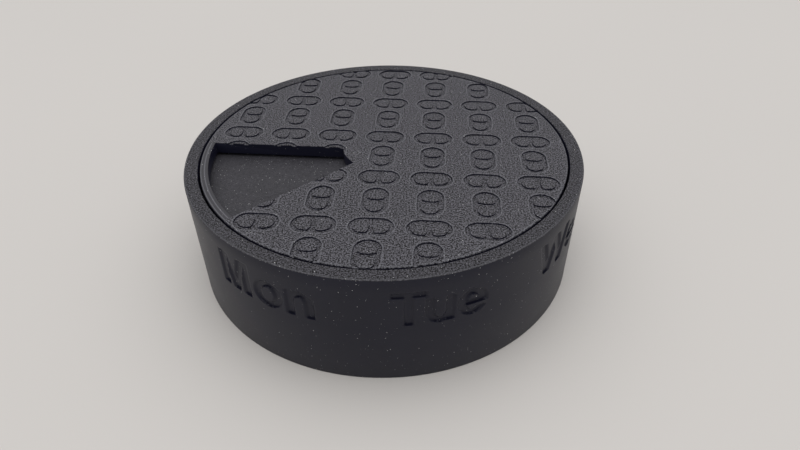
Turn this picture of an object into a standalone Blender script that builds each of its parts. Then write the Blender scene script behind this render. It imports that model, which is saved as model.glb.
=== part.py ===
"""Rotating pill organizer: a printed case with seven day bays under a turning lid.

The case is a round cup. A divider insert with eight vanes drops into it and makes
eight bays, one for each day and a blank one that a block fills. The lid turns on a
screw that comes up through the floor of the case. A sector of the lid, as wide as a
bay, is cut out, and it clears one bay at a time. The model stands on z = 0 with its
axis on Z, and the day that starts the week faces the front left.
"""
import math

import bmesh
import bpy
from mathutils import Matrix

MM = 0.001

# Overall sizes of the case
CASE_RADIUS = 50.0 * MM
CASE_HEIGHT = 30.0 * MM
CASE_WALL = 3.3 * MM
CASE_FLOOR = 2.0 * MM

# Gaps: pieces that touch, and pieces that run in one another
SEAT_GAP = 0.3 * MM
RUNNING_GAP = 0.3 * MM
LID_EDGE_GAP = 0.5 * MM
BAY_TOP_GAP = 0.8 * MM
CUT_OVERRUN = 1.0 * MM

# The bays
BAY_COUNT = 8
FIRST_DAY_ANGLE = math.radians(-122.5)
BAY_PITCH = 2 * math.pi / BAY_COUNT
VANE_THICKNESS = 1.6 * MM
VANE_SLOT_DEPTH = 1.0 * MM
HUB_WALL = 2.8 * MM

# Lid and its opening: a bay wide, its two sides meeting a little off the axis
LID_THICKNESS = 3.0 * MM
LID_REST_TURN = math.radians(-6.45)
LID_RING = 2.0 * MM
OPENING_WALL_ANGLE = math.pi
OPENING_WALL_OFFSET = 1.1 * MM
OPENING_HUB_MARGIN = 0.9 * MM
OPENING_EDGE_ANGLE = OPENING_WALL_ANGLE + BAY_PITCH

# M4 screw with a button head, its lock nut and washers
SCREW_RADIUS = 2.0 * MM
SCREW_HOLE_GAP = 0.3 * MM
SCREW_HEAD_RADIUS = 3.8 * MM
SCREW_HEAD_HEIGHT = 2.2 * MM
SCREW_HEAD_CROWN = 2.3 * MM
SCREW_SOCKET_FLATS = 2.5 * MM
SCREW_SOCKET_DEPTH = 1.3 * MM
SCREW_TIP_CHAMFER = 0.5 * MM
SCREW_PROUD = 2.0 * MM
SCREW_BLIND_ROOM = 0.6 * MM
HEAD_RECESS = 0.8 * MM
NUT_FLATS = 7.0 * MM
NUT_HEIGHT = 5.0 * MM
NUT_CROWN_HEIGHT = 1.8 * MM
NUT_CROWN_RADIUS = 3.4 * MM
NUT_RING_WALL = 0.5 * MM
NUT_SEAT_HEIGHT = 6.2 * MM
WASHER_RADIUS = 4.5 * MM
WASHER_THICKNESS = 0.8 * MM
WAVE_THICKNESS = 0.3 * MM
WAVE_RISE = 0.5 * MM
WAVE_COUNT = 3
BOSS_WALL = 1.8 * MM
BOSS_WEB = 2.6 * MM

# Facets of round shapes
ROUND_STEPS = 96
SMALL_STEPS = 48
MERGE = 0.00001
SMOOTH_ANGLE = math.radians(30)

# Sizes that follow from the ones above
CASE_BORE = CASE_RADIUS - CASE_WALL
LID_RADIUS = CASE_BORE - LID_EDGE_GAP
LID_UNDERSIDE = CASE_HEIGHT - LID_THICKNESS
BAY_TOP = LID_UNDERSIDE - BAY_TOP_GAP
BAY_BOTTOM = CASE_FLOOR + SEAT_GAP
SCREW_HOLE_RADIUS = SCREW_RADIUS + SCREW_HOLE_GAP
COUNTERBORE_RADIUS = WASHER_RADIUS + SEAT_GAP
BOSS_RADIUS = COUNTERBORE_RADIUS + BOSS_WALL
HUB_BORE = BOSS_RADIUS + RUNNING_GAP
HUB_RADIUS = HUB_BORE + HUB_WALL
VANE_HALF = VANE_THICKNESS / 2
VANE_REACH = CASE_BORE + VANE_SLOT_DEPTH - SEAT_GAP
OPENING_INNER = HUB_RADIUS + OPENING_HUB_MARGIN
OPENING_OUTER = LID_RADIUS - LID_RING
OPENING_EDGE_OFFSET = -OPENING_WALL_OFFSET * math.cos(BAY_PITCH)

# The pivot stack, from the table up
HEAD_UNDERSIDE = HEAD_RECESS + SCREW_HEAD_HEIGHT
HEAD_WASHER_BOTTOM = HEAD_UNDERSIDE + SEAT_GAP
COUNTERBORE_TOP = HEAD_WASHER_BOTTOM + WASHER_THICKNESS + SEAT_GAP
CASE_BOSS_TOP = COUNTERBORE_TOP + BOSS_WEB
WAVE_BOTTOM = CASE_BOSS_TOP + SEAT_GAP
SLIDE_WASHER_BOTTOM = WAVE_BOTTOM + WAVE_THICKNESS + WAVE_RISE + SEAT_GAP
LID_BOSS_BOTTOM = SLIDE_WASHER_BOTTOM + WASHER_THICKNESS + SEAT_GAP
NUT_BOTTOM = LID_BOSS_BOTTOM + NUT_SEAT_HEIGHT
NUT_TOP = NUT_BOTTOM + NUT_HEIGHT
NUT_CROWN_BOTTOM = NUT_TOP - NUT_CROWN_HEIGHT
NUT_RING_HEIGHT = NUT_CROWN_HEIGHT - 2 * SEAT_GAP
SCREW_TIP = NUT_TOP + SCREW_PROUD
BORE_TOP = SCREW_TIP + SCREW_BLIND_ROOM


def clear_scene():
    """Empty the scene, so that the script can be run again."""
    for obj in list(bpy.data.objects):
        bpy.data.objects.remove(obj)
    for collection in list(bpy.data.collections):
        bpy.data.collections.remove(collection)


def new_collection(name):
    """A collection in the scene."""
    collection = bpy.data.collections.new(name)
    bpy.context.scene.collection.children.link(collection)
    return collection


def new_material(name, colour, roughness, metallic):
    """A Principled material with one colour."""
    material = bpy.data.materials.new(name)
    material.use_nodes = True
    shader = material.node_tree.nodes["Principled BSDF"]
    shader.inputs["Base Color"].default_value = (*colour, 1.0)
    shader.inputs["Roughness"].default_value = roughness
    shader.inputs["Metallic"].default_value = metallic
    material.diffuse_color = (*colour, 1.0)
    return material


def link_new(name, data, collection):
    """A new object for a mesh or a curve, in a collection."""
    obj = bpy.data.objects.new(name, data)
    collection.objects.link(obj)
    return obj


def as_cutter(obj):
    """Mark an object as a tool that only shapes other objects."""
    obj.hide_render = True
    obj.display_type = 'WIRE'
    return obj


def baked_mesh(obj):
    """The mesh of an object with its modifiers applied, its doubles merged."""
    bpy.context.view_layer.update()
    evaluated = obj.evaluated_get(bpy.context.evaluated_depsgraph_get())
    mesh = bpy.data.meshes.new_from_object(evaluated)
    shape = bmesh.new()
    shape.from_mesh(mesh)
    bmesh.ops.remove_doubles(shape, verts=shape.verts, dist=MERGE)
    shape.to_mesh(mesh)
    shape.free()
    return mesh


def turned(name, profile, collection, steps=ROUND_STEPS):
    """A profile of (radius, z) points, spun about Z with a Screw modifier.

    A profile that starts and ends on the axis stays open, and so does a single edge.
    """
    mesh = bpy.data.meshes.new(name)
    count = len(profile)
    edges = [(i, i + 1) for i in range(count - 1)]
    on_axis = profile[0][0] == 0 and profile[-1][0] == 0
    if count > 2 and not on_axis:
        edges.append((count - 1, 0))
    mesh.from_pydata([(radius, 0, z) for radius, z in profile], edges, [])
    obj = link_new(name, mesh, collection)
    screw = obj.modifiers.new("Turn", 'SCREW')
    screw.axis = 'Z'
    screw.angle = 2 * math.pi
    screw.steps = steps
    screw.render_steps = steps
    screw.use_merge_vertices = True
    screw.merge_threshold = MERGE
    return obj


def prism(name, outline, bottom, top, collection):
    """A flat outline of (x, y) points, extruded from one height to another."""
    curve = bpy.data.curves.new(name, 'CURVE')
    curve.dimensions = '2D'
    curve.fill_mode = 'BOTH'
    curve.extrude = (top - bottom) / 2
    spline = curve.splines.new('POLY')
    spline.points.add(len(outline) - 1)
    for point, (x, y) in zip(spline.points, outline):
        point.co = (x, y, 0, 1)
    spline.use_cyclic_u = True
    drawing = link_new(name + "_outline", curve, collection)
    drawing.location.z = (top + bottom) / 2
    mesh = baked_mesh(drawing)
    mesh.transform(drawing.matrix_world)
    bpy.data.objects.remove(drawing)
    return link_new(name, mesh, collection)


def polar(radius, angle):
    """A point in the plane at a radius and an angle."""
    return (radius * math.cos(angle), radius * math.sin(angle))


def arc(radius, start, end, steps):
    """Points along an arc about the axis."""
    return [polar(radius, start + (end - start) * i / steps) for i in range(steps + 1)]


def sector(inner, outer, start, end, start_offset, end_offset):
    """A sector between two arcs, its sides moved inwards by offsets from radial lines."""
    steps = max(4, round(ROUND_STEPS * (end - start) / (2 * math.pi)))
    far = arc(outer, start + math.asin(start_offset / outer),
              end - math.asin(end_offset / outer), steps)
    near = arc(inner, end - math.asin(end_offset / inner),
               start + math.asin(start_offset / inner), steps)
    return far + near


def hexagon(flats):
    """A hexagon with two flats across X, by its width across flats."""
    return [polar(flats / math.sqrt(3), math.pi * (i + 0.5) / 3) for i in range(6)]


def rectangle(x0, x1, y0, y1):
    """A rectangle's corners."""
    return [(x0, y0), (x1, y0), (x1, y1), (x0, y1)]


def boolean(obj, tool, operation):
    """Cut or join with another object, with the exact solver."""
    modifier = obj.modifiers.new(operation.title(), 'BOOLEAN')
    modifier.operation = operation
    modifier.solver = 'EXACT'
    modifier.object = as_cutter(tool)


def finish(obj, material, parent=None):
    """Apply the modifiers, shade round faces smooth, and dress and place the piece."""
    mesh = baked_mesh(obj)
    mesh.name = obj.name
    obj.modifiers.clear()
    obj.data = mesh
    mesh.shade_smooth()
    mesh.set_sharp_from_angle(angle=SMOOTH_ANGLE)
    mesh.materials.clear()
    mesh.materials.append(material)
    obj.parent = parent
    return obj


def vane_angle(index):
    """The direction of a vane, half a bay past its day."""
    return FIRST_DAY_ANGLE + BAY_PITCH * (index + 0.5)


def make_case(parts, cutters, material):
    """The round cup, with slots for the vanes and a hollow boss for the screw."""
    profile = [
        (CASE_RADIUS, CASE_HEIGHT),
        (CASE_RADIUS, 0),
        (COUNTERBORE_RADIUS, 0),
        (COUNTERBORE_RADIUS, COUNTERBORE_TOP),
        (SCREW_HOLE_RADIUS, COUNTERBORE_TOP),
        (SCREW_HOLE_RADIUS, CASE_BOSS_TOP),
        (BOSS_RADIUS, CASE_BOSS_TOP),
        (BOSS_RADIUS, CASE_FLOOR),
        (CASE_BORE, CASE_FLOOR),
        (CASE_BORE, CASE_HEIGHT),
    ]
    case = turned("outer_case", profile, parts)
    slot_half = VANE_HALF + SEAT_GAP
    slot = rectangle(CASE_BORE - CUT_OVERRUN, CASE_BORE + VANE_SLOT_DEPTH, -slot_half, slot_half)
    for index in range(BAY_COUNT):
        tool = prism(f"vane_slot_{index}", slot, CASE_FLOOR, LID_UNDERSIDE, cutters)
        tool.data.transform(Matrix.Rotation(vane_angle(index), 4, 'Z'))
        boolean(case, tool, 'DIFFERENCE')
    return finish(case, material)


def make_dividers(parts, cutters, material):
    """The insert: a hub tube and eight vanes that reach into slots in the case wall."""
    tube = [
        (HUB_RADIUS, BAY_TOP),
        (HUB_RADIUS, BAY_BOTTOM),
        (HUB_BORE, BAY_BOTTOM),
        (HUB_BORE, BAY_TOP),
    ]
    insert = turned("divider_insert", tube, parts)
    root = (HUB_BORE + HUB_RADIUS) / 2
    vane = rectangle(root, VANE_REACH, -VANE_HALF, VANE_HALF)
    for index in range(BAY_COUNT):
        tool = prism(f"vane_{index}", vane, BAY_BOTTOM, BAY_TOP, cutters)
        tool.data.transform(Matrix.Rotation(vane_angle(index), 4, 'Z'))
        boolean(insert, tool, 'UNION')
    return finish(insert, material)


def make_blank_block(parts, material):
    """The block that fills the eighth bay, up to just under the lid."""
    start = vane_angle(BAY_COUNT - 2)
    side = VANE_HALF + SEAT_GAP
    outline = sector(HUB_RADIUS + SEAT_GAP, CASE_BORE - SEAT_GAP, start, start + BAY_PITCH, side, side)
    return finish(prism("blank_bay_block", outline, BAY_BOTTOM, BAY_TOP, parts), material)


def make_lid(parts, cutters, material, pivot):
    """The turning lid, with its opening and the boss that holds the nut."""
    profile = [
        (0, CASE_HEIGHT),
        (LID_RADIUS, CASE_HEIGHT),
        (LID_RADIUS, LID_UNDERSIDE),
        (BOSS_RADIUS, LID_UNDERSIDE),
        (BOSS_RADIUS, LID_BOSS_BOTTOM),
        (SCREW_HOLE_RADIUS, LID_BOSS_BOTTOM),
        (SCREW_HOLE_RADIUS, BORE_TOP),
        (0, BORE_TOP),
    ]
    lid = turned("rotating_lid", profile, parts)
    opening = sector(OPENING_INNER, OPENING_OUTER, OPENING_WALL_ANGLE, OPENING_EDGE_ANGLE,
                     OPENING_WALL_OFFSET, OPENING_EDGE_OFFSET)
    cut_bottom = LID_UNDERSIDE - CUT_OVERRUN
    cut_top = CASE_HEIGHT + CUT_OVERRUN
    boolean(lid, prism("lid_opening", opening, cut_bottom, cut_top, cutters), 'DIFFERENCE')
    pocket_bottom = NUT_BOTTOM - SEAT_GAP
    pocket_top = NUT_TOP + SEAT_GAP
    pocket_flats = NUT_FLATS + 2 * SEAT_GAP
    pocket = prism("nut_pocket", hexagon(pocket_flats), pocket_bottom, pocket_top, cutters)
    boolean(lid, pocket, 'DIFFERENCE')
    slot_half = pocket_flats / 2
    slot = rectangle(-slot_half, slot_half, -BOSS_RADIUS - CUT_OVERRUN, 0)
    boolean(lid, prism("nut_slot", slot, pocket_bottom, pocket_top, cutters), 'DIFFERENCE')
    return finish(lid, material, pivot)


def make_screw(parts, cutters, material, pivot):
    """The button head screw, from its head in the floor to its tip in the lid."""
    head_edge = SCREW_HEAD_HEIGHT / 3
    profile = [
        (0, SCREW_TIP),
        (SCREW_RADIUS - SCREW_TIP_CHAMFER, SCREW_TIP),
        (SCREW_RADIUS, SCREW_TIP - SCREW_TIP_CHAMFER),
        (SCREW_RADIUS, HEAD_UNDERSIDE),
        (SCREW_HEAD_RADIUS, HEAD_UNDERSIDE),
        (SCREW_HEAD_RADIUS, HEAD_UNDERSIDE - head_edge),
        ((SCREW_HEAD_RADIUS + SCREW_HEAD_CROWN) / 2, HEAD_RECESS + head_edge / 2),
        (SCREW_HEAD_CROWN, HEAD_RECESS),
        (0, HEAD_RECESS),
    ]
    screw = turned("pivot_screw", profile, parts, SMALL_STEPS)
    socket = prism("socket", hexagon(SCREW_SOCKET_FLATS), HEAD_RECESS - CUT_OVERRUN,
                   HEAD_RECESS + SCREW_SOCKET_DEPTH, cutters)
    boolean(screw, socket, 'DIFFERENCE')
    return finish(screw, material, pivot)


def make_nut(parts, cutters, material, pivot):
    """The lock nut: a hexagon below a round crown that holds the nylon ring."""
    ring_seat = SCREW_HOLE_RADIUS + NUT_RING_WALL + SEAT_GAP
    nut = prism("pivot_nut", hexagon(NUT_FLATS), NUT_BOTTOM, NUT_CROWN_BOTTOM, parts)
    crown_root = (NUT_BOTTOM + NUT_CROWN_BOTTOM) / 2
    crown = [
        (0, NUT_TOP),
        (NUT_CROWN_RADIUS, NUT_TOP),
        (NUT_CROWN_RADIUS, crown_root),
        (0, crown_root),
    ]
    boolean(nut, turned("nut_crown", crown, cutters, SMALL_STEPS), 'UNION')
    bore = [
        (0, NUT_TOP + CUT_OVERRUN),
        (ring_seat, NUT_TOP + CUT_OVERRUN),
        (ring_seat, NUT_CROWN_BOTTOM),
        (SCREW_HOLE_RADIUS, NUT_CROWN_BOTTOM),
        (SCREW_HOLE_RADIUS, NUT_BOTTOM - CUT_OVERRUN),
        (0, NUT_BOTTOM - CUT_OVERRUN),
    ]
    boolean(nut, turned("nut_bore", bore, cutters, SMALL_STEPS), 'DIFFERENCE')
    return finish(nut, material, pivot)


def make_ring(name, inner, outer, bottom, thickness, parts, material, pivot=None):
    """A flat ring about the axis, such as a washer."""
    profile = [
        (outer, bottom + thickness),
        (outer, bottom),
        (inner, bottom),
        (inner, bottom + thickness),
    ]
    return finish(turned(name, profile, parts, SMALL_STEPS), material, pivot)


def make_wave_washer(parts, material):
    """The spring washer: a thin ring bent into waves, pressed between boss and washer."""
    radial = [(WASHER_RADIUS, 0), (SCREW_HOLE_RADIUS, 0)]
    spring = turned("wave_washer", radial, parts, SMALL_STEPS)
    middle = WAVE_BOTTOM + (WAVE_THICKNESS + WAVE_RISE) / 2
    mesh = baked_mesh(spring)
    for vertex in mesh.vertices:
        angle = math.atan2(vertex.co.y, vertex.co.x)
        vertex.co.z = middle + WAVE_RISE / 2 * math.sin(WAVE_COUNT * angle)
    spring.modifiers.clear()
    spring.data = mesh
    wall = spring.modifiers.new("Thickness", 'SOLIDIFY')
    wall.thickness = WAVE_THICKNESS
    wall.offset = 0
    return finish(spring, material)


def build():
    """Make every piece of the organizer."""
    clear_scene()
    parts = new_collection("rotating_pill_organizer")
    cutters = new_collection("cutters")
    black = new_material("black_print", (0.022, 0.022, 0.026), 0.45, 0.0)
    steel = new_material("zinc_steel", (0.55, 0.56, 0.58), 0.32, 1.0)
    spring = new_material("spring_steel", (0.42, 0.42, 0.43), 0.28, 1.0)
    nylon = new_material("white_nylon", (0.80, 0.79, 0.74), 0.42, 0.0)

    pivot = bpy.data.objects.new("lid_pivot", None)
    parts.objects.link(pivot)
    pivot.rotation_euler.z = LID_REST_TURN

    make_case(parts, cutters, black)
    make_dividers(parts, cutters, black)
    make_blank_block(parts, black)
    make_lid(parts, cutters, black, pivot)
    make_screw(parts, cutters, steel, pivot)
    make_nut(parts, cutters, steel, pivot)
    make_ring("nut_lock_ring", SCREW_HOLE_RADIUS, SCREW_HOLE_RADIUS + NUT_RING_WALL,
              NUT_CROWN_BOTTOM + SEAT_GAP, NUT_RING_HEIGHT, parts, nylon, pivot)
    make_ring("head_washer", SCREW_HOLE_RADIUS, WASHER_RADIUS, HEAD_WASHER_BOTTOM,
              WASHER_THICKNESS, parts, steel)
    make_wave_washer(parts, spring)
    make_ring("slide_washer", SCREW_HOLE_RADIUS, WASHER_RADIUS, SLIDE_WASHER_BOTTOM,
              WASHER_THICKNESS, parts, nylon)


build()
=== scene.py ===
"""Looks of the rotating pill organizer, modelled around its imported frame.

Sizes are in metres. The case is modelled again with its day names and the lid with its
capsules, and every other piece gets its edges, its thread or waves, and its finish.
"""
import math

import bmesh
import bpy
from mathutils import Matrix, Vector


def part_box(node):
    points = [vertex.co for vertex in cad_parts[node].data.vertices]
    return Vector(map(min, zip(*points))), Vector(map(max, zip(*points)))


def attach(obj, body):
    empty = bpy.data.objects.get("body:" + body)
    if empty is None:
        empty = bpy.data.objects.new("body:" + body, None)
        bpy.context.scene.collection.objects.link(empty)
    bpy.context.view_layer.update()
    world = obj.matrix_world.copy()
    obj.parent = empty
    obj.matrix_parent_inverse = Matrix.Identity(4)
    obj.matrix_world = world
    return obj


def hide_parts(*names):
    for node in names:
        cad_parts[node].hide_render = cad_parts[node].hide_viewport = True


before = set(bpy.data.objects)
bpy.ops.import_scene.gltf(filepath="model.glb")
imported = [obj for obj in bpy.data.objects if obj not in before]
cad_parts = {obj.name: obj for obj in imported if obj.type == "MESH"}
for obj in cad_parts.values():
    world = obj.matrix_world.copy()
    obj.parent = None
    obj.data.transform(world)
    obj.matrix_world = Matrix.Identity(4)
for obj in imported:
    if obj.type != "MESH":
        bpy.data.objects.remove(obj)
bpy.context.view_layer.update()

MM = 0.001

# The case
CASE_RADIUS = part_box("outer_case")[1][0]
CASE_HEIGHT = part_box("outer_case")[1][2]
CASE_WALL = 3.3 * MM
CASE_BORE = CASE_RADIUS - CASE_WALL
CASE_FLOOR = 2.0 * MM
CASE_EDGE = 0.25 * MM
WALL_LIMIT = CASE_RADIUS - 0.05 * MM
BOSS_RADIUS = 6.6 * MM
BOSS_TOP = 7.0 * MM
COUNTERBORE_RADIUS = 4.8 * MM
COUNTERBORE_TOP = 4.4 * MM
HOLE_RADIUS = 2.3 * MM
FIT = 0.3 * MM

# The vanes and the block between them
VANE_COUNT = 8
VANE_HALF = 0.8 * MM
VANE_REACH = 47.4 * MM
SLOT_DEPTH = 1.0 * MM
FIRST_VANE = math.radians(-100)
BAY_PITCH = 2 * math.pi / VANE_COUNT
VANE_ANGLES = [FIRST_VANE + index * BAY_PITCH for index in range(VANE_COUNT)]
BLANK_START = FIRST_VANE + 6 * BAY_PITCH
HUB_BORE = 6.9 * MM
HUB_RADIUS = 9.7 * MM
HUB_FILLET = 0.7 * MM
HUB_SLACK = 0.03 * MM
VANE_SLACK = 0.02 * MM
BAY_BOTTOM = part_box("divider_insert")[0][2]
BAY_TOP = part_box("divider_insert")[1][2]
PRINT_EDGE = 0.2 * MM

# The lid
LID_RADIUS = CASE_BORE - 0.5 * MM
LID_EDGE = 0.35 * MM
LID_MARGIN = 1.0 * MM
LID_UNDERSIDE = CASE_HEIGHT - 3.0 * MM
LID_TURN = math.radians(-6.45)
LID_BOSS_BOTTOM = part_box("rotating_lid")[0][2]
LID_BORE_TOP = 23.3 * MM
OPENING_INNER = 10.6 * MM
OPENING_OUTER = 44.2 * MM
OPENING_APEX = -1.1 * MM

# The capsules engraved in the lid, in the lid's own turn. Rows whose capsules lie across
# and rows whose capsules lie along take turns. CAPSULE_SQUARE is how far a capsule's half
# bulges towards the line between the halves, as a share of its radius
CAPSULE_LENGTH = 9.95 * MM
CAPSULE_WIDTH = 6.0 * MM
CAPSULE_GROOVE = 0.95 * MM
CAPSULE_CUT = 0.38 * MM
CAPSULE_EDGE = 0.12 * MM
CAPSULE_SQUARE = 0.35
CAPSULE_SIDES = 32
COLUMNS = range(-4, 5)
COLUMN_PITCH = 12.63 * MM
COLUMN_SHIFT = -0.22 * MM
COLUMN_LEAN = -0.0167
ROWS = range(-3, 4)
ROW_PITCH = 18.95 * MM
ACROSS_ROW = 4.9 * MM
ALONG_ROW = -4.5 * MM
CAPSULE_LIMIT = 48.9 * MM

# The day names, pressed into the wall by LETTER_CUT and drawn down by LETTER_DROP, as a
# print sags there. The wall's mesh is finer in NAME_BAND. The letters are listed in
# millimetres, each with its width: upright bars by their left, bottom, right and top,
# leaning bars by foot, head and width, and oval rings by their middle, half sizes and the
# boxes left out of them. SHOULDER and LEDGE are the widths of a stroke's slopes at its sides
# and at its top and bottom
DAY_NAMES = ("Mon", "Tue", "Wed", "Thu", "Fri", "Sat", "Sun")
FIRST_DAY = math.radians(-122.5)
LETTER_CUT = 0.45 * MM
LETTER_DROP = 0.22 * MM
SHOULDER = 0.75
LEDGE = 0.15
LETTER_BASE = 16.95 * MM
LETTER_GAP = 1.35
LETTER_MARGIN = 1
NOT_ZERO = 0.01
NAME_BAND = (16.2 * MM, 26.7 * MM)
NAME_MARGIN = 1.2
BAND_ROWS = 6
BAND_CUTS = 7
PAIR_GAPS = {"Mo": 1.5, "on": 1.0, "Tu": -0.1, "ue": 0.75,
             "Th": 0.9, "We": 0.2, "Fr": 0.7, "at": 0.7}
CAP = 9.3
LOW = 7.0
STEM = 1.8
THIN = 1.5
ARCH = ("bowl", 3.2, 3.9, 3.2, 3.25, (-1, -2, 8, 3.9))
LETTERS = {
    "M": (9.0, ("bar", 0, 0, 1.95, CAP), ("bar", 7.05, 0, 9, CAP),
          ("slant", 3.6, 1.15, 1.8), ("slant", 3.6, 6.05, 1.8)),
    "T": (7.4, ("bar", 0, CAP - THIN, 7.4, CAP), ("bar", 2.8, 0, 4.6, CAP)),
    "W": (12.6, ("slant", 2.8, 0.1, 2.05), ("slant", 2.8, 5.4, 2.05),
          ("slant", 8.4, 5.9, 2.05), ("slant", 8.4, 11, 2.05)),
    "F": (6.6, ("bar", 0, 0, STEM, CAP), ("bar", 0, CAP - THIN, 6.6, CAP),
          ("bar", 0, 3.9, 5.8, 5.4)),
    "S": (7.1, ("bowl", 3.45, 6.7, 3.2, 2.75, (3.8, 3, 8, 6.75)),
          ("bowl", 3.6, 2.6, 3.5, 2.75, (-1, 2.55, 3.2, 6))),
    "o": (7.2, ("bowl", 3.6, 3.5, 3.6, 3.65)),
    "n": (6.4, ARCH, ("bar", 0, 0, STEM, LOW), ("bar", 4.6, 0, 6.4, 4.3)),
    "h": (6.4, ARCH, ("bar", 0, 0, STEM, CAP), ("bar", 4.6, 0, 6.4, 4.3)),
    "u": (6.2, ("bowl", 3.1, 3.1, 3.1, 3.25, (-1, 3.1, 8, 9)),
          ("bar", 0, 2.7, STEM, LOW), ("bar", 4.4, 0, 6.2, LOW)),
    "e": (6.8, ("bowl", 3.4, 3.5, 3.4, 3.65, (3.4, 1.8, 8, 2.95)), ("bar", 1, 2.9, 6.3, 4.1)),
    "d": (6.7, ("bowl", 3.25, 3.5, 3.25, 3.65), ("bar", 4.9, 0, 6.7, CAP)),
    "r": (4.3, ("bowl", 4.1, 3.75, 3.7, 3.4, (-1, -1, 9, 4.6), (4.3, -1, 9, 9)),
          ("bar", 0, 0, STEM, LOW)),
    "i": (1.8, ("bar", 0, 0, STEM, LOW), ("bar", 0, CAP - 1.6, STEM, CAP)),
    "a": (6.4, ("bowl", 3.2, 4.35, 3.05, 2.8, (-1, -1, 9, 4.4), (-1, -1, 3, 5)),
          ("bowl", 3.15, 2.05, 3.1, 2.2), ("bar", 4.45, 0, 6.25, 4.8)),
    "t": (4.0, ("bowl", 3.5, 2.4, 2.5, 2.55, (-1, 2.4, 9, 9), (4, -1, 9, 9)),
          ("bar", 1, 2, 2.8, 8.8), ("bar", 0, LOW - 1.4, 4, LOW)),
}

# The pivot: an M4 button head screw with its lock nut and washers. THREAD_CREST and
# THREAD_FOOT are heights in one turn of the thread
THREAD_RADIUS = 2.0 * MM
THREAD_ROOT = 1.62 * MM
THREAD_PITCH = 0.7 * MM
THREAD_CREST = 0.3 * MM
THREAD_FOOT = 0.6 * MM
THREAD_STEPS = 24
THREAD_IN_HEAD = 0.45 * MM
TIP_CHAMFER = 0.9 * MM
TIP_SPARE = 0.1 * MM
HEAD_RADIUS = 3.8 * MM
HEAD_TOP = 3.0 * MM
HEAD_DOME = 1.35 * MM
SOCKET_FLATS = 2.5 * MM
SOCKET_DEPTH = 1.3 * MM
WASHER_RADIUS = 4.5 * MM
WASHER_EDGE = 0.12 * MM
NUT_FLATS = 7.0 * MM
NUT_CORNER_EDGE = 0.35 * MM
NUT_CROWN = 3.4 * MM
NUT_CROWN_EDGE = 0.4 * MM
NUT_CROWN_BOTTOM = 18.9 * MM
NUT_RING_RADIUS = 2.8 * MM
WAVE_RISE = 0.5 * MM
WAVE_COUNT = 3
WAVE_EDGE = 0.06 * MM

# Facets of round shapes, and how far tools reach past what they cut
ROUND = 192
MIDDLING = 96
SMALL = 64
SLIM = 48
OVERRUN = 1.0 * MM

# Where an edge is a crease, which points are one, which lengths are the same, and how large
# the upward part of a normal is on faces that are level, quite flat or upright
CREASE = math.radians(30)
MERGE = 0.001 * MM
SAME = 0.01 * MM
LEVEL = 0.9
FLAT = 0.9999
UPRIGHT = 0.01


def deselect():
    """Let go of every object, so that an operator acts only on what is picked next."""
    for obj in bpy.context.selected_objects:
        obj.select_set(False)


def take(obj):
    """Make one object the selected and active one."""
    deselect()
    obj.select_set(True)
    bpy.context.view_layer.objects.active = obj
    return obj


class Edit:
    """Edit mode on one object, with parts of it selected by their place."""

    def __init__(self, obj):
        self.obj = obj

    def __enter__(self):
        take(self.obj)
        bpy.ops.object.mode_set(mode='EDIT')
        return self

    def __exit__(self, *error):
        bpy.ops.object.mode_set(mode='OBJECT')

    def _pick(self, mode, items, test):
        bpy.ops.mesh.select_mode(type=mode)
        bpy.ops.mesh.select_all(action='DESELECT')
        shape = bmesh.from_edit_mesh(self.obj.data)
        for item in getattr(shape, items):
            if test(item):
                item.select_set(True)
        shape.select_flush_mode()
        bmesh.update_edit_mesh(self.obj.data)

    def faces(self, test):
        """Select the faces whose centre and normal pass a test."""
        self._pick('FACE', "faces", lambda face: test(face.calc_center_median(), face.normal))

    def corners(self, test):
        """Select the edges where faces meet at an angle and whose two ends pass a test."""
        self._pick('EDGE', "edges", lambda edge: edge.calc_face_angle(0) > CREASE
                   and all(test(vert.co) for vert in edge.verts))

    def edges(self, test):
        """Select the edges that pass a test."""
        self._pick('EDGE', "edges", test)

    def verts(self, test):
        """Select the vertices that pass a test."""
        self._pick('VERT', "verts", lambda vert: test(vert.co))

    def all(self):
        """Select everything."""
        bpy.ops.mesh.select_all(action='SELECT')

    def extrude(self, rise):
        """Extrude the selected faces upwards, or downwards where the rise is below zero."""
        bpy.ops.mesh.extrude_region_move(TRANSFORM_OT_translate={"value": (0, 0, rise)})


def near(value, wanted):
    """Whether two lengths are the same."""
    return abs(value - wanted) < SAME


def reach(point):
    """Distance from the turning axis."""
    return math.hypot(point.x, point.y)


def flat_at(height, up):
    """A test for flat faces at a height that look up (1) or down (-1)."""
    return lambda centre, normal: near(centre.z, height) and normal.z * up > LEVEL


def hole_ends(radius):
    """A test for the level faces round the axis that a hole of some radius does away with."""
    return lambda centre, normal: abs(normal.z) > LEVEL and reach(centre) < radius / 2


def on_rims(*rims):
    """A test for the points of some rims, each a radius and a height."""
    return lambda point: any(near(reach(point), radius) and near(point.z, height)
                             for radius, height in rims)


def apply_modifier(obj, kind, **settings):
    """Add a modifier, set it and apply it."""
    take(obj)
    modifier = obj.modifiers.new(kind.title(), kind)
    for key, value in settings.items():
        setattr(modifier, key, value)
    bpy.ops.object.modifier_apply(modifier=modifier.name)
    return obj


def cut(obj, tool, operation='DIFFERENCE'):
    """Cut, join or intersect an object with a tool, and throw the tool away."""
    apply_modifier(obj, 'BOOLEAN', object=tool, operation=operation, solver='EXACT')
    bpy.data.objects.remove(tool)
    return obj


def turn(obj, angle):
    """Turn an object about the world's Z axis, into its mesh."""
    obj.data.transform(Matrix.Rotation(angle, 4, 'Z'))
    return obj


def shift(obj, x, y=0):
    """Move an object level, into its mesh."""
    obj.data.transform(Matrix.Translation((x, y, 0)))
    return obj


def settle(obj, name):
    """Name a piece, and bring its place, turn and scale into its mesh."""
    take(obj)
    bpy.ops.object.transform_apply(location=True, rotation=True, scale=True)
    obj.name = name
    obj.data.name = name
    return obj


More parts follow.
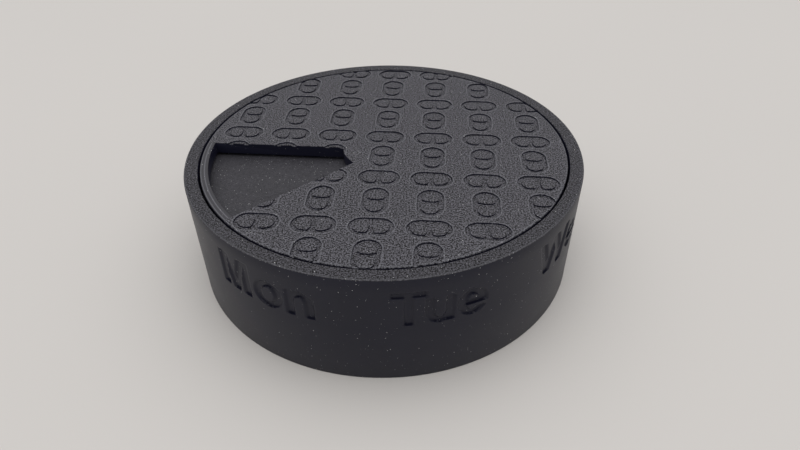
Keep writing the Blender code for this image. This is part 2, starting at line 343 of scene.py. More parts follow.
def twin(obj):
    """A copy with a mesh of its own."""
    copy = obj.copy()
    copy.data = obj.data.copy()
    bpy.context.scene.collection.objects.link(copy)
    return copy


def join(objects, name):
    """Join several objects into the first one."""
    take(objects[0])
    for obj in objects:
        obj.select_set(True)
    bpy.ops.object.join()
    joined = bpy.context.object
    joined.name = name
    return joined


def finish_piece(obj, name):
    """Name a finished piece, with flat faces flat, round ones smooth and creases sharp."""
    settle(obj, name)
    with Edit(obj) as edit:
        edit.all()
        bpy.ops.mesh.dissolve_degenerate(threshold=MERGE)
    bpy.ops.object.shade_smooth_by_angle(angle=CREASE)
    with Edit(obj) as edit:
        edit.faces(lambda centre, normal: abs(normal.z) > FLAT)
        bpy.ops.mesh.faces_shade_flat()
    return obj


def drum(radius, bottom, top, sides=ROUND):
    """A cylinder about the axis."""
    bpy.ops.mesh.primitive_cylinder_add(
        vertices=sides, radius=radius, depth=top - bottom, location=(0, 0, (top + bottom) / 2))
    return settle(bpy.context.object, "drum")


def hexagon(flats, bottom, top):
    """A hexagonal block about the axis, by its width across the flats."""
    return turn(drum(flats / math.sqrt(3), bottom, top, 6), math.pi / 6)


def bar(low, high):
    """A box between two corners."""
    centre = [(a + b) / 2 for a, b in zip(low, high)]
    bpy.ops.mesh.primitive_cube_add(size=1, location=centre)
    block = bpy.context.object
    block.scale = [b - a for a, b in zip(low, high)]
    return settle(block, "bar")


def bevel(obj, width, segments, test):
    """Round the edges that pass a test."""
    with Edit(obj) as edit:
        edit.corners(test)
        bpy.ops.mesh.bevel(offset=width, segments=segments, affect='EDGES')
    return obj


def tube(inner, outer, bottom, top, edge, sides=SMALL):
    """A flat ring or a tube: a drum with both ends inset and bridged, and its rims rounded."""
    body = drum(outer, bottom, top, sides)
    with Edit(body) as edit:
        for height, up in ((top, 1), (bottom, -1)):
            edit.faces(flat_at(height, up))
            bpy.ops.mesh.inset(thickness=outer - inner)
        edit.faces(hole_ends(inner))
        bpy.ops.mesh.bridge_edge_loops()
    return bevel(body, edge, 2, lambda point: near(point.z, top) or near(point.z, bottom))


def lay_out(word):
    """The place of each letter along a word, from the word's middle."""
    starts = [0]
    for first, second in zip(word, word[1:]):
        gap = PAIR_GAPS.get(first + second, LETTER_GAP)
        starts.append(starts[-1] + LETTERS[first][0] + gap)
    middle = (starts[-1] + LETTERS[word[-1]][0]) / 2
    return [(letter, start - middle) for letter, start in zip(word, starts)]


NAMES = [lay_out(word) for word in DAY_NAMES]


def ease(distance, width):
    """From 0 outside to 1 inside, smoothly over a width."""
    share = min(max(distance / width + 0.5, 0), 1)
    return share * share * (3 - 2 * share)


def in_bar(x, z, left, bottom, right, top):
    """How deep a point lies in an upright bar, from 0 to 1."""
    return (ease(x - left, SHOULDER) * ease(right - x, SHOULDER)
            * ease(z - bottom, LEDGE) * ease(top - z, LEDGE))


def in_slant(x, z, foot, head, width):
    """How deep a point lies in a leaning bar of full height."""
    left = foot + (head - foot) * z / CAP
    return in_bar(x, z, left, 0, left + width, CAP)


def in_bowl(x, z, middle, height, across, up, *gaps):
    """How deep a point lies in an oval ring, less the boxes left out of it.

    The ring's two edges are soft at its sides and steep at its top and bottom.
    """
    dx, dz = x - middle, z - height
    ring = 1
    for side, wide, high in ((1, across, up), (-1, across - STEM, up - THIN)):
        size = max(math.hypot(dx / wide, dz / high), NOT_ZERO)
        steep = (dz / high / size) ** 2
        ring *= ease(side * (1 - size) * min(wide, high), SHOULDER + (LEDGE - SHOULDER) * steep)
    for gap in gaps:
        ring *= 1 - in_bar(x, z, *gap)
    return ring


def along_wall(point):
    """The bay that a point of the wall is at, and how far along it, in mm from its middle."""
    angle = (math.atan2(point.y, point.x) - FIRST_DAY + BAY_PITCH / 2) % (2 * math.pi)
    bay = int(angle / BAY_PITCH)
    return bay, (angle - (bay + 0.5) * BAY_PITCH) * CASE_RADIUS / MM


def name_depth(point):
    """How deep the day names are at a point of the wall, from 0 to 1."""
    bay, along = along_wall(point)
    if bay >= len(NAMES):
        return 0
    height = (point.z - LETTER_BASE) / MM
    strokes = {"bar": in_bar, "slant": in_slant, "bowl": in_bowl}
    return max((strokes[kind](along - start, height, *numbers) for letter, start in NAMES[bay]
                if -LETTER_MARGIN < along - start < LETTERS[letter][0] + LETTER_MARGIN
                for kind, *numbers in LETTERS[letter][1:]), default=0)


def near_name(point):
    """Whether a point of the wall is in a day name's stretch of it."""
    bay, along = along_wall(point)
    return bay < len(NAMES) and abs(along) < NAME_MARGIN - NAMES[bay][0][1]


def on_wall(centre, normal):
    """Whether a face belongs to the case's outer wall."""
    return abs(normal.z) < UPRIGHT and reach(centre) > WALL_LIMIT


def press_names(case):
    """Press the day names into the wall, with the soft shoulders that a printer gives them."""
    low, high = NAME_BAND
    with Edit(case) as edit:
        for row in range(BAND_ROWS + 1):
            edit.faces(on_wall)
            bpy.ops.mesh.bisect(plane_co=(0, 0, low + (high - low) * row / BAND_ROWS),
                                plane_no=(0, 0, 1), threshold=MERGE)
        edit.faces(lambda centre, normal: on_wall(centre, normal)
                   and low < centre.z < high and near_name(centre))
        bpy.ops.mesh.subdivide(number_cuts=BAND_CUTS)
    for vert in case.data.vertices:
        if low <= vert.co.z <= high and reach(vert.co) > WALL_LIMIT:
            depth = name_depth(vert.co)
            scale = (CASE_RADIUS - LETTER_CUT * depth) / reach(vert.co)
            vert.co = (vert.co.x * scale, vert.co.y * scale, vert.co.z - LETTER_DROP * depth)


def make_case():
    """The printed cup: a drum, inset and extruded, with slots for the vanes, and the names."""
    case = drum(CASE_RADIUS, 0, CASE_HEIGHT)
    with Edit(case) as edit:
        edit.faces(flat_at(CASE_HEIGHT, 1))
        bpy.ops.mesh.inset(thickness=CASE_WALL)
        edit.extrude(CASE_FLOOR - CASE_HEIGHT)
        bpy.ops.mesh.inset(thickness=CASE_BORE - BOSS_RADIUS)
        edit.extrude(BOSS_TOP - CASE_FLOOR)
        bpy.ops.mesh.inset(thickness=BOSS_RADIUS - HOLE_RADIUS)
        edit.faces(flat_at(0, -1))
        bpy.ops.mesh.inset(thickness=CASE_RADIUS - COUNTERBORE_RADIUS)
        edit.extrude(COUNTERBORE_TOP)
        bpy.ops.mesh.inset(thickness=COUNTERBORE_RADIUS - HOLE_RADIUS)
        edit.faces(hole_ends(HOLE_RADIUS))
        bpy.ops.mesh.bridge_edge_loops()
    bevel(case, CASE_EDGE, 2, on_rims(
        (CASE_RADIUS, CASE_HEIGHT), (CASE_BORE, CASE_HEIGHT), (CASE_RADIUS, 0),
        (COUNTERBORE_RADIUS, 0), (BOSS_RADIUS, BOSS_TOP)))
    half = VANE_HALF + FIT
    slots = [turn(bar((CASE_BORE - OVERRUN, -half, CASE_FLOOR),
                      (CASE_BORE + SLOT_DEPTH, half, LID_UNDERSIDE)), angle)
             for angle in VANE_ANGLES]
    cut(case, join(slots, "slots"))
    press_names(case)
    return finish_piece(case, "case_body")


def beside_vane(point, angle):
    """Whether a point of the hub lies in one of the sides of the vane at an angle."""
    along = point.x * math.cos(angle) + point.y * math.sin(angle)
    across = point.y * math.cos(angle) - point.x * math.sin(angle)
    return along > 0 and abs(abs(across) - VANE_HALF) < VANE_SLACK


def in_corner(edge):
    """Whether an edge stands in the corner between the hub and a vane."""
    foot, head = (vert.co for vert in edge.verts)
    upright = abs(foot.z - head.z) > (BAY_TOP - BAY_BOTTOM) / 2
    on_hub = all(abs(reach(end) - HUB_RADIUS) < HUB_SLACK for end in (foot, head))
    return upright and on_hub and any(beside_vane(foot, angle) for angle in VANE_ANGLES)


def make_dividers():
    """The insert: eight vanes on a hub tube, with small fillets where they meet."""
    insert = tube(HUB_BORE, HUB_RADIUS, BAY_BOTTOM, BAY_TOP, PRINT_EDGE, ROUND)
    vane = bar(((HUB_BORE + HUB_RADIUS) / 2, -VANE_HALF, BAY_BOTTOM),
               (VANE_REACH, VANE_HALF, BAY_TOP))
    bevel(vane, PRINT_EDGE, 2, lambda point: near(point.z, BAY_TOP) or near(point.x, VANE_REACH))
    turn(vane, FIRST_VANE)
    vanes = [vane] + [turn(twin(vane), index * BAY_PITCH) for index in range(1, VANE_COUNT)]
    cut(insert, join(vanes, "vanes"), 'UNION')
    with Edit(insert) as edit:
        edit.edges(in_corner)
        bpy.ops.mesh.bevel(offset=HUB_FILLET, segments=4, affect='EDGES')
    return finish_piece(insert, "bay_dividers")


def strip(inner, outer, bottom, top):
    """A rectangle's outline that stands on the X axis."""
    bpy.ops.mesh.primitive_plane_add(
        size=1, rotation=(math.pi / 2, 0, 0), location=((inner + outer) / 2, 0, (bottom + top) / 2))
    outline = bpy.context.object
    outline.scale = (outer - inner, top - bottom, 1)
    settle(outline, "strip")
    with Edit(outline) as edit:
        edit.all()
        bpy.ops.mesh.delete(type='ONLY_FACE')
    return outline


def swept(outline, start, span, steps):
    """Sweep an outline round the axis and close its two ends."""
    apply_modifier(outline, 'SCREW', axis='Z', angle=span, steps=steps, render_steps=steps,
                   use_merge_vertices=False)
    with Edit(outline) as edit:
        edit.all()
        bpy.ops.mesh.remove_doubles(threshold=MERGE)
        bpy.ops.mesh.fill_holes(sides=4)
        edit.all()
        bpy.ops.mesh.normals_make_consistent(inside=False)
    return turn(outline, start)


def sliced(obj, point, away):
    """Cut an object off along a plane and close it."""
    with Edit(obj) as edit:
        edit.all()
        bpy.ops.mesh.bisect(plane_co=point, plane_no=away, threshold=MERGE,
                            use_fill=True, clear_outer=True)
    return obj


def make_block():
    """The block that fills the blank bay, its sides parallel to the vanes."""
    outline = strip(HUB_RADIUS + FIT, CASE_BORE - FIT, BAY_BOTTOM, BAY_TOP)
    block = swept(outline, BLANK_START, BAY_PITCH, SLIM)
    gap = VANE_HALF + FIT
    for angle, side in ((BLANK_START, -1), (BLANK_START + BAY_PITCH, 1)):
        away = Vector((-math.sin(angle) * side, math.cos(angle) * side, 0))
        sliced(block, -away * gap, away)
    bevel(block, PRINT_EDGE, 2, lambda point: near(point.z, BAY_TOP))
    return finish_piece(block, "blank_filler")


def bay_sector(inner, outer, bottom, top):
    """A ring's sector in the opening's place, its sides a bay's angle apart from the apex."""
    sector = swept(strip(inner, outer, bottom, top), math.pi - BAY_PITCH, 3 * BAY_PITCH, MIDDLING)
    apex = (0, OPENING_APEX, 0)
    edge = math.pi + BAY_PITCH
    sliced(sector, apex, (0, 1, 0))
    return sliced(sector, apex, (-math.sin(edge), math.cos(edge), 0))


def stadium(length, width, bottom, top):
    """A round-ended block along X: a drum whose halves are drawn apart."""
    block = turn(drum(width / 2, bottom, top, CAPSULE_SIDES), math.pi / CAPSULE_SIDES)
    pull = (length - width) / 2
    for side in (-1, 1):
        with Edit(block) as edit:
            edit.verts(lambda point: point.x * side > 0)
            bpy.ops.transform.translate(value=(side * pull, 0, 0))
    return block


def capsule_island(side, bottom, top):
    """One half of a capsule: a drum, squared on the side of the divider."""
    half_width = CAPSULE_WIDTH / 2 - CAPSULE_GROOVE
    island = turn(drum(half_width, bottom, top, CAPSULE_SIDES), math.pi / CAPSULE_SIDES)
    inner = CAPSULE_GROOVE / 2
    outer = CAPSULE_LENGTH / 2 - CAPSULE_GROOVE
    straight = outer - inner - half_width * (1 + CAPSULE_SQUARE)
    with Edit(island) as edit:
        edit.verts(lambda point: point.x * side < 0)
        bpy.ops.transform.resize(value=(CAPSULE_SQUARE, 1, 1), center_override=(0, 0, 0))
        edit.verts(lambda point: point.x * side > 0)
        bpy.ops.transform.translate(value=(side * straight, 0, 0))
    return shift(island, side * (inner + half_width * CAPSULE_SQUARE))


def capsules_tool():
    """The grooves of all the capsules, one modelled and the others copied.

    The ring beside the opening is left bare.
    """
    bottom = CASE_HEIGHT - CAPSULE_CUT
    top = CASE_HEIGHT + OVERRUN
    groove = stadium(CAPSULE_LENGTH, CAPSULE_WIDTH, bottom, top)
    for side in (-1, 1):
        cut(groove, capsule_island(side, bottom - OVERRUN, top + OVERRUN))
    grooves = []
    for column in COLUMNS:
        for row in ROWS:
            for start, angle in ((ACROSS_ROW, 0), (ALONG_ROW, math.pi / 2)):
                y = start + row * ROW_PITCH
                x = COLUMN_SHIFT + column * COLUMN_PITCH + COLUMN_LEAN * y
                if math.hypot(x, y) < CAPSULE_LIMIT:
                    grooves.append(shift(turn(twin(groove), angle), x, y))
    bpy.data.objects.remove(groove)
    ring = bay_sector(OPENING_OUTER, LID_RADIUS + OVERRUN, bottom - OVERRUN, top + OVERRUN)
    return cut(join(grooves, "capsules"), ring)


def make_lid():
    """The lid, with its engraving, its opening, and the boss beneath that holds the nut."""
    lid = drum(LID_RADIUS, LID_UNDERSIDE, CASE_HEIGHT)
    with Edit(lid) as edit:
        edit.faces(flat_at(LID_UNDERSIDE, -1))
        bpy.ops.mesh.inset(thickness=LID_RADIUS - BOSS_RADIUS)
        edit.extrude(LID_BOSS_BOTTOM - LID_UNDERSIDE)
        bpy.ops.mesh.inset(thickness=BOSS_RADIUS - HOLE_RADIUS)
        edit.extrude(LID_BORE_TOP - LID_BOSS_BOTTOM)
    bevel(lid, LID_EDGE, 3, on_rims((LID_RADIUS, CASE_HEIGHT)))
    bevel(lid, PRINT_EDGE, 2, on_rims((LID_RADIUS, LID_UNDERSIDE), (BOSS_RADIUS, LID_BOSS_BOTTOM)))
    nut_low, nut_high = (corner[2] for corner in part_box("pivot_nut"))
    flats = NUT_FLATS + 2 * FIT
    cut(lid, hexagon(flats, nut_low - FIT, nut_high + FIT))
    cut(lid, bar((-flats / 2, -BOSS_RADIUS - OVERRUN, nut_low - FIT),
                 (flats / 2, 0, nut_high + FIT)))
    cut(lid, capsules_tool())
    cut(lid, bay_sector(OPENING_INNER, OPENING_OUTER,
                        LID_UNDERSIDE - OVERRUN, CASE_HEIGHT + OVERRUN))
    bevel(lid, CAPSULE_EDGE, 2,
          lambda point: near(point.z, CASE_HEIGHT) and reach(point) < LID_RADIUS - LID_MARGIN)
    return finish_piece(turn(lid, LID_TURN), "lid_plate")


def make_thread(bottom, top):
    """A threaded rod: the thread's outline, swept up a helix and cut off at both ends."""
    outline = ((THREAD_ROOT, 0), (THREAD_RADIUS, THREAD_CREST), (THREAD_ROOT, THREAD_FOOT),
               (THREAD_ROOT, THREAD_PITCH))
    start = bottom - 2 * THREAD_PITCH
    bpy.ops.mesh.primitive_circle_add(
        vertices=len(outline), radius=THREAD_RADIUS, fill_type='NOTHING')
    rod = settle(bpy.context.object, "thread")
    for vert, (radius, height) in zip(rod.data.vertices, outline):
        vert.co = (radius, 0, start + height)
    with Edit(rod) as edit:
        edit.edges(lambda edge: abs(edge.verts[0].co.z - edge.verts[1].co.z) > THREAD_FOOT)
        bpy.ops.mesh.delete(type='EDGE')
    turns = math.ceil((top - start) / THREAD_PITCH) + 1
    apply_modifier(rod, 'SCREW', axis='Z', angle=2 * math.pi, screw_offset=THREAD_PITCH,
                   iterations=turns, steps=THREAD_STEPS, render_steps=THREAD_STEPS,
                   use_merge_vertices=False)
    with Edit(rod) as edit:
        edit.all()
        bpy.ops.mesh.remove_doubles(threshold=MERGE)
    sliced(rod, (0, 0, bottom), (0, 0, -1))
    sliced(rod, (0, 0, top), (0, 0, 1))
    with Edit(rod) as edit:
        edit.all()
        bpy.ops.mesh.normals_make_consistent(inside=False)
    return rod


def make_screw():
    """The machine screw: a domed head with a hexagon socket, and a thread with a chamfered tip."""
    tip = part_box("pivot_screw")[1][2]
    head_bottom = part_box("pivot_screw")[0][2]
    thread = make_thread(HEAD_TOP - THREAD_IN_HEAD, tip)
    envelope = drum(THREAD_RADIUS + FIT, HEAD_TOP - OVERRUN, tip + TIP_SPARE, SLIM)
    bevel(envelope, TIP_CHAMFER, 1, on_rims((THREAD_RADIUS + FIT, tip + TIP_SPARE)))
    cut(thread, envelope, 'INTERSECT')
    head = drum(HEAD_RADIUS, head_bottom, HEAD_TOP, SMALL)
    bevel(head, HEAD_DOME, 6, on_rims((HEAD_RADIUS, head_bottom)))
    cut(head, hexagon(SOCKET_FLATS, head_bottom - OVERRUN, head_bottom + SOCKET_DEPTH))
    return finish_piece(turn(cut(head, thread, 'UNION'), LID_TURN), "machine_screw")


def make_nut():
    """The lock nut: a hexagon with rounded-off corners, and a crown that holds a ring."""
    low, high = (corner[2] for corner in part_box("pivot_nut"))
    nut = hexagon(NUT_FLATS, low, NUT_CROWN_BOTTOM)
    corner = NUT_FLATS / math.sqrt(3)
    round_off = drum(corner, low, NUT_CROWN_BOTTOM, SMALL)
    bevel(round_off, NUT_CORNER_EDGE, 1, lambda point: near(reach(point), corner))
    cut(nut, round_off, 'INTERSECT')
    crown = drum(NUT_CROWN, (low + NUT_CROWN_BOTTOM) / 2, high, SMALL)
    cut(nut, bevel(crown, NUT_CROWN_EDGE, 3, on_rims((NUT_CROWN, high))), 'UNION')
    cut(nut, drum(HOLE_RADIUS, low - OVERRUN, high + OVERRUN, SMALL))
    cut(nut, drum(NUT_RING_RADIUS + FIT, NUT_CROWN_BOTTOM, high + OVERRUN, SMALL))
    return finish_piece(turn(nut, LID_TURN), "lock_nut")


def make_ring(node, inner, outer, name):
    """A washer or ring in the place of a node."""
    low, high = (corner[2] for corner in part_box(node))
    return finish_piece(tube(inner, outer, low, high, WASHER_EDGE), name)


def make_wave():
    """The spring washer, bent into three waves."""
    low, high = (corner[2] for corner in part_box("wave_washer"))
    half = (high - low - WAVE_RISE) / 2
    middle = (low + high) / 2
    spring = tube(HOLE_RADIUS, WASHER_RADIUS, middle - half, middle + half, WAVE_EDGE, MIDDLING)
    for vert in spring.data.vertices:
        vert.co.z += WAVE_RISE / 2 * math.sin(WAVE_COUNT * math.atan2(vert.co.y, vert.co.x))
    return finish_piece(spring, "spring_washer")


class Num:
    """A number in a material: arithmetic on it adds Math nodes."""

    def __init__(self, finish, socket):
        self.finish = finish
        self.socket = socket

    def math(self, operation, other=0.0, first=None):
        """A Math node on this number."""
        pair = {0: self if first is None else first, 1: other}
        return self.finish.node("ShaderNodeMath", {"operation": operation}, pair)[0]

    def __add__(self, other):
        return self.math('ADD', other)

    def __sub__(self, other):
        return self.math('SUBTRACT', other)

    def __rsub__(self, other):
        return self.math('SUBTRACT', self, first=other)

    def __mul__(self, other):
        return self.math('MULTIPLY', other)

    def __gt__(self, other):
        return self.math('GREATER_THAN', other)

    def __lt__(self, other):
        return self.math('LESS_THAN', other)

    __radd__ = __add__
    __rmul__ = __mul__


class Finish:
    """A material or world under way. One method adds any node."""

    def __init__(self, owner):
        self.owner = owner
        owner.use_nodes = True
        self.tree = owner.node_tree
        self.tree.nodes.clear()
        self.place = self.node("ShaderNodeTexCoord", {}, {})

    def node(self, kind, settings, sockets):
        """Add a node, set it, and give its sockets their values or links.

        Its outputs come back by number and by name.
        """
        node = self.tree.nodes.new(kind)
        for key, value in settings.items():
            if key == "stops":
                # A new ramp has two stops, which become the first and the last
                stops = node.color_ramp.elements
                for stop, (position, shade) in zip((stops[0], stops[1]), (value[0], value[-1])):
                    stop.position, stop.color = position, shade
                for position, shade in value[1:-1]:
                    stops.new(position).color = shade
            else:
                setattr(node, key, value)
        for key, value in sockets.items():
            if isinstance(value, Num):
                self.tree.links.new(value.socket, node.inputs[key])
            else:
                node.inputs[key].default_value = value
        outputs = {index: Num(self, output) for index, output in enumerate(node.outputs)}
        return outputs | {output.name: Num(self, output)
                          for output in node.outputs if output.enabled}

    def noise(self, scale, detail=2):
        """Noise on the object's own coordinates, from 0 to 1."""
        return self.node("ShaderNodeTexNoise", {},
                         {"Vector": self.place["Object"], "Scale": scale, "Detail": detail})["Fac"]

    def length(self, x, y):
        """The length of a flat vector."""
        return (x * x + y * y).math('SQRT')

    def wrap(self, value, pitch):
        """A length folded into one step of a pattern, zero at the step's middle."""
        return self.node("ShaderNodeMath", {"operation": 'WRAP'},
                         {0: value, 1: pitch / 2, 2: -pitch / 2})[0]

    def bead(self, away):
        """The rounded line that the printer lays beside an outline, by the distance from it."""
        wave = (away * (2 * math.pi / BEAD_WIDTH)).math('COSINE')
        return (0.5 - wave * 0.5) * (away > 0.0) * (away < BEAD_WIDTH)

    def blend(self, share, first, second):
        """Mix two colours by a share. The node's sockets for them go by number."""
        return self.node("ShaderNodeMix", {"data_type": 'RGBA'}, {0: share, 6: first, 7: second})[2]

    def axis(self, vector, letter):
        """One part of a vector."""
        return self.node("ShaderNodeSeparateXYZ", {}, {0: vector})[letter]

    def bump(self, height, distance, strength=1.0):
        """A Bump node for the shader's normal."""
        return self.node("ShaderNodeBump", {}, {"Height": height, "Distance": distance,
                                                "Strength": strength})["Normal"]

    def surface(self, **sockets):
        """Finish with the Principled shader. Underscores stand for spaces."""
        inputs = {key.replace("_", " "): value for key, value in sockets.items()}
        shader = self.node("ShaderNodeBsdfPrincipled", {}, inputs)["BSDF"]
        self.node("ShaderNodeOutputMaterial", {}, {"Surface": shader})
        return self.owner


# The colours of the print. The faces that look up are painted paler than the walls, as painted
# light from above; the floor's colour is dimmed further by painted shade of the recess, and the
# beads' colour is a painted highlight. All but the beads' are mixed half and half with black, which
# leaves room for the grain to go both ways, and so they show half as bright
WALL_COLOUR = (0.017, 0.0178, 0.044, 1)
LID_TOP_LIT = (0.168, 0.163, 0.188, 1)
RIM_TOP_LIT = (0.112, 0.108, 0.126, 1)
# The floor seen through the opening: a lit top colour darkened with painted shade of the recess
FLOOR_TOP_IN_SHADE = (0.082, 0.079, 0.093, 1)
# The beads' colour: a painted highlight
BEAD_HIGHLIGHT_COLOUR = (0.25, 0.25, 0.28, 1)
COLOUR_SHARE = 0.5

# The surface of the print. Grain is on the faces that look up, within the bore and on the rim,
# layers are on the walls, and clouds are a slow unevenness all over. Beads are the lines that the
# printer lays beside an outline, some of them in a calm, which has less grain and is darker; they
# are bumps, and their colour is also painted paler, a painted highlight where they catch the light.
# Bumps are shares of BUMP_HEIGHT
TOP_LEAN = 0.3
RIM_DEPTH = 1.0 * MM
GRAIN_SCALE = 2800
CLOUD_SCALE = 120
CLOUD_TONE = 0.3
LAYER_HEIGHT = 0.2 * MM
BEAD_WIDTH = 0.5 * MM
BEAD_HIGHLIGHT = 0.4
SECOND_BEAD = 0.6 * MM
RIM_BEAD = 0.4
RIM_CALM = 0.5
CALM_SHADE = 0.22
BUMP_HEIGHT = 0.2 * MM
GRAIN_BUMP = 0.3
SMOOTH_BUMP = 0.04
LAYER_BUMP = 0.006
BEAD_BUMP = 0.3
PRINT_ROUGHNESS = 0.42
TOP_ROUGHNESS = 0.1
CLOUD_ROUGHNESS = 0.06
PRINT_IOR = 1.37

# The glitter in the print: two sorts of flecks by their density and their least size as a
# share of their spacing, how much larger some are, the share of places that hold one, and
# how dim the dimmest are
FLECKS = ((1100, 0.04), (1900, 0.06))
FLECK_SPREAD = 0.08
FLECKS_ON_WALL = 0.22
MORE_ON_TOP = 0.2
FLECK_DIMMEST = 0.2
FLECK_COLOUR = (0.9, 0.9, 0.9, 1)

# The looks of the hardware: the scale of its clouds, and what they change
METAL_CLOUDS = 700
METAL_SHADE = 0.85
METAL_SPREAD = 0.15
METAL_BUMP = 0.01 * MM
NYLON_CLOUDS = 400
NYLON_COLOURS = ((0.74, 0.72, 0.64, 1), (0.82, 0.80, 0.74, 1))
NYLON_ROUGHNESS = 0.38
NYLON_SPREAD = 0.1
NYLON_BUMP = 0.02 * MM


def new_finish(name):
    """An empty material under way."""
    return Finish(bpy.data.materials.new(name))


def grey(value):
    """A neutral colour."""
    return (value, value, value, 1)


def black_print(name, lit_top_colour, grain, outlines=None):
    """Black plastic with glitter in it, as it comes off a printer.

    Walls are smooth and dark and carry the lines of their layers. Faces that look up are grainy and
    painted paler, as painted light from above falls on them, and outlines gives their beads, which
    carry a painted highlight, and where they are calm.
    """
    finish = new_finish(name)
    place = finish.place["Object"]
    normal = finish.node("ShaderNodeNewGeometry", {}, {})["Normal"]
    inside = finish.length(finish.axis(place, "X"), finish.axis(place, "Y")) < CASE_BORE
    level = finish.axis(place, "Z")
    on_rim = level > CASE_HEIGHT - RIM_DEPTH
    top = (finish.axis(normal, "Z") > TOP_LEAN) * inside.math('MAXIMUM', on_rim)
    fine = finish.noise(GRAIN_SCALE) - 0.5
    cloud = finish.noise(CLOUD_SCALE, detail=3) - 0.5
    flecks = 0.0
    for scale, size in FLECKS:
        cells = finish.node("ShaderNodeTexVoronoi", {}, {"Vector": place, "Scale": scale})
        lot = finish.node("ShaderNodeSeparateColor", {}, {"Color": cells["Color"]})
        chosen = lot["Red"] < top * MORE_ON_TOP + FLECKS_ON_WALL
        seen = (cells["Distance"] < lot["Green"] * FLECK_SPREAD + size) * chosen
        bright = lot["Blue"] * lot["Blue"] * (1 - FLECK_DIMMEST) + FLECK_DIMMEST
        flecks = seen * bright + flecks
    beads, calm = outlines(finish) if outlines else (0.0, 0.0)
    beads = beads * top
    grainy = top * grain * (1.0 - calm)
    share = (fine * grainy + 1.0) * (cloud * CLOUD_TONE + 1.0) * (
        COLOUR_SHARE - calm * CALM_SHADE)
    # Faces that look up take the top colour: painted light from above, paler than the walls
    tone = finish.blend(share, grey(0), finish.blend(top, WALL_COLOUR, lit_top_colour))
    # The beads are painted paler: a painted highlight where they catch the light
    tone = finish.blend(beads * BEAD_HIGHLIGHT, tone, BEAD_HIGHLIGHT_COLOUR)
    layer = (level * (2 * math.pi / LAYER_HEIGHT)).math('SINE')
    height = fine * (grainy * GRAIN_BUMP + SMOOTH_BUMP) + layer * LAYER_BUMP + beads * BEAD_BUMP
    return finish.surface(
        Base_Color=finish.blend(flecks, tone, FLECK_COLOUR),
        Roughness=cloud * CLOUD_ROUGHNESS + top * TOP_ROUGHNESS + PRINT_ROUGHNESS,
        IOR=PRINT_IOR,
        Normal=finish.bump(height, BUMP_HEIGHT))


def rim_outline(finish):
    """The bead along the rim's outer edge, a bump with a painted highlight, and its calm."""
    place = finish.place["Object"]
    centre = finish.length(finish.axis(place, "X"), finish.axis(place, "Y"))
    calm = (centre > CASE_RADIUS - BEAD_WIDTH) * RIM_CALM
    return finish.bead(CASE_RADIUS - centre) * RIM_BEAD, calm


def lid_outlines(finish):
    """The beads along the lid's edge, beside its opening and round its capsules, each a bump with a
    painted highlight, and the calm.

    The calm is the bare ring beside the opening.
    """
    turned = finish.node("ShaderNodeMapping", {}, {"Vector": finish.place["Object"],
                                                   "Rotation": (0, 0, -LID_TURN)})["Vector"]
    x = finish.axis(turned, "X")
    y = finish.axis(turned, "Y")
    centre = finish.length(x, y)
    beyond = y - OPENING_APEX
    calm = (beyond < 0.0) * (x < beyond) * (centre > OPENING_OUTER)
    beads = 0.0
    half = (CAPSULE_LENGTH - CAPSULE_WIDTH) / 2
    column = finish.wrap(x - COLUMN_SHIFT - y * COLUMN_LEAN, COLUMN_PITCH)
    for row, long, short in ((ACROSS_ROW, 1, 0), (ALONG_ROW, 0, 1)):
        sides = (column, finish.wrap(y - row, ROW_PITCH))
        straight = (sides[short].math('ABSOLUTE') - half).math('MAXIMUM', 0.0)
        away = finish.length(straight, sides[long]) - CAPSULE_WIDTH / 2
        beads = finish.bead(away) + beads
    beads = beads * (1.0 - calm) + calm * finish.bead(centre - OPENING_OUTER - SECOND_BEAD)
    return finish.bead(LID_RADIUS - centre) + beads, calm


def plain_metal(name, tone, roughness):
    """Plated steel with a faint uneven sheen."""
    finish = new_finish(name)
    cloud = finish.noise(METAL_CLOUDS, detail=3)
    return finish.surface(
        Base_Color=finish.blend(cloud, grey(tone * METAL_SHADE), grey(tone)),
        Roughness=cloud * METAL_SPREAD + roughness,
        Metallic=1.0,
        Normal=finish.bump(cloud, METAL_BUMP, strength=0.4))


def nylon():
    """Natural nylon, slightly cloudy."""
    finish = new_finish("natural_nylon")
    cloud = finish.noise(NYLON_CLOUDS, detail=3)
    return finish.surface(
        Base_Color=finish.blend(cloud, *NYLON_COLOURS),
        Roughness=cloud * NYLON_SPREAD + NYLON_ROUGHNESS,
        Normal=finish.bump(cloud, NYLON_BUMP, strength=0.3))


# The view, the table, and the light of the room by the rise of a direction, from level or
# lower (0) to straight up (1)
CAMERA_LENS = 27.81
CAMERA_SENSOR = 36
CAMERA_DISTANCE = 177.8 * MM
CAMERA_ELEVATION = math.radians(39.47)
CAMERA_PAN = math.radians(-1.25)
CAMERA_TILT = math.radians(1.03)
CAMERA_ROLL = math.radians(-1.49)
TABLE_SIZE = 6
TABLE_CLOUDS = 6
TABLE_COLOURS = ((0.62, 0.595, 0.57, 1), (0.64, 0.612, 0.587, 1))
TABLE_ROUGHNESS = 0.7
ROOM_LIGHT = ((0.0, 0.37), (0.5, 0.42), (0.7, 0.92), (0.88, 1.2), (1.0, 2.6))


def make_camera():
    """The photograph's view: towards the foot of the case, with a small pan, tilt and roll."""
    data = bpy.data.cameras.new("camera")
    data.lens = CAMERA_LENS
    data.sensor_width = CAMERA_SENSOR
    camera = bpy.data.objects.new("camera", data)
    bpy.context.scene.collection.objects.link(camera)
    down = Matrix.Rotation(math.pi / 2 - CAMERA_ELEVATION, 4, 'X')
    aim = (Matrix.Rotation(CAMERA_PAN, 4, 'Y') @ Matrix.Rotation(CAMERA_TILT, 4, 'X')
           @ Matrix.Rotation(CAMERA_ROLL, 4, 'Z'))
    away = down @ Vector((0, 0, CAMERA_DISTANCE))
    camera.matrix_world = Matrix.Translation(away) @ down @ aim
    bpy.context.scene.camera = camera


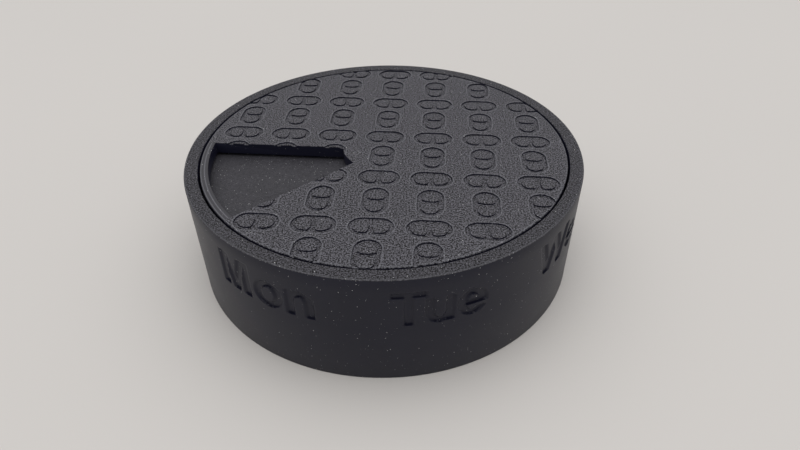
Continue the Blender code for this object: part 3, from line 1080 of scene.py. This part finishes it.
def make_floor():
    """The pale table."""
    bpy.ops.mesh.primitive_plane_add(size=TABLE_SIZE)
    floor = bpy.context.object
    floor.name = "table"
    finish = new_finish("pale_table")
    cloud = finish.noise(TABLE_CLOUDS)
    floor.data.materials.append(finish.surface(
        Base_Color=finish.blend(cloud, *TABLE_COLOURS), Roughness=TABLE_ROUGHNESS))


def make_world():
    """Soft light from all round, brightest overhead, as under a wide lamp in a pale room."""
    world = bpy.data.worlds.new("room")
    bpy.context.scene.world = world
    finish = Finish(world)
    rise = finish.axis(finish.place["Generated"], "Z")
    stops = [(position, grey(light)) for position, light in ROOM_LIGHT]
    light = finish.node("ShaderNodeValToRGB", {"stops": stops}, {"Fac": rise})["Color"]
    background = finish.node("ShaderNodeBackground", {}, {"Color": light, "Strength": 1.0})[0]
    finish.node("ShaderNodeOutputWorld", {}, {"Surface": background})


def dress(piece, body, node, material):
    """Put a finished piece in the place of its node."""
    piece.data.materials.clear()
    piece.data.materials.append(material)
    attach(piece, body)
    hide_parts(node)


deselect()
make_camera()
make_world()
make_floor()
bpy.context.scene.view_settings.view_transform = 'Standard'

case_print = black_print("case_print", RIM_TOP_LIT, grain=11.0, outlines=rim_outline)
lid_print = black_print("lid_print", LID_TOP_LIT, grain=11.0, outlines=lid_outlines)
# The insert's tops carry painted shade of the recess in their colour
insert_print = black_print("insert_print", FLOOR_TOP_IN_SHADE, grain=2.0)
zinc = plain_metal("zinc_plate", tone=0.6, roughness=0.25)
spring_steel = plain_metal("spring_steel", tone=0.45, roughness=0.2)
white_nylon = nylon()

dress(make_case(), "case", "outer_case", case_print)
dress(make_dividers(), "case", "divider_insert", insert_print)
dress(make_block(), "case", "blank_bay_block", insert_print)
dress(make_ring("head_washer", HOLE_RADIUS, WASHER_RADIUS, "plain_washer"),
      "case", "head_washer", zinc)
dress(make_wave(), "case", "wave_washer", spring_steel)
dress(make_ring("slide_washer", HOLE_RADIUS, WASHER_RADIUS, "glide_washer"),
      "case", "slide_washer", white_nylon)
dress(make_lid(), "lid", "rotating_lid", lid_print)
dress(make_screw(), "lid", "pivot_screw", zinc)
dress(make_nut(), "lid", "pivot_nut", zinc)
dress(make_ring("nut_lock_ring", HOLE_RADIUS, NUT_RING_RADIUS, "lock_nut_ring"),
      "lid", "nut_lock_ring", white_nylon)
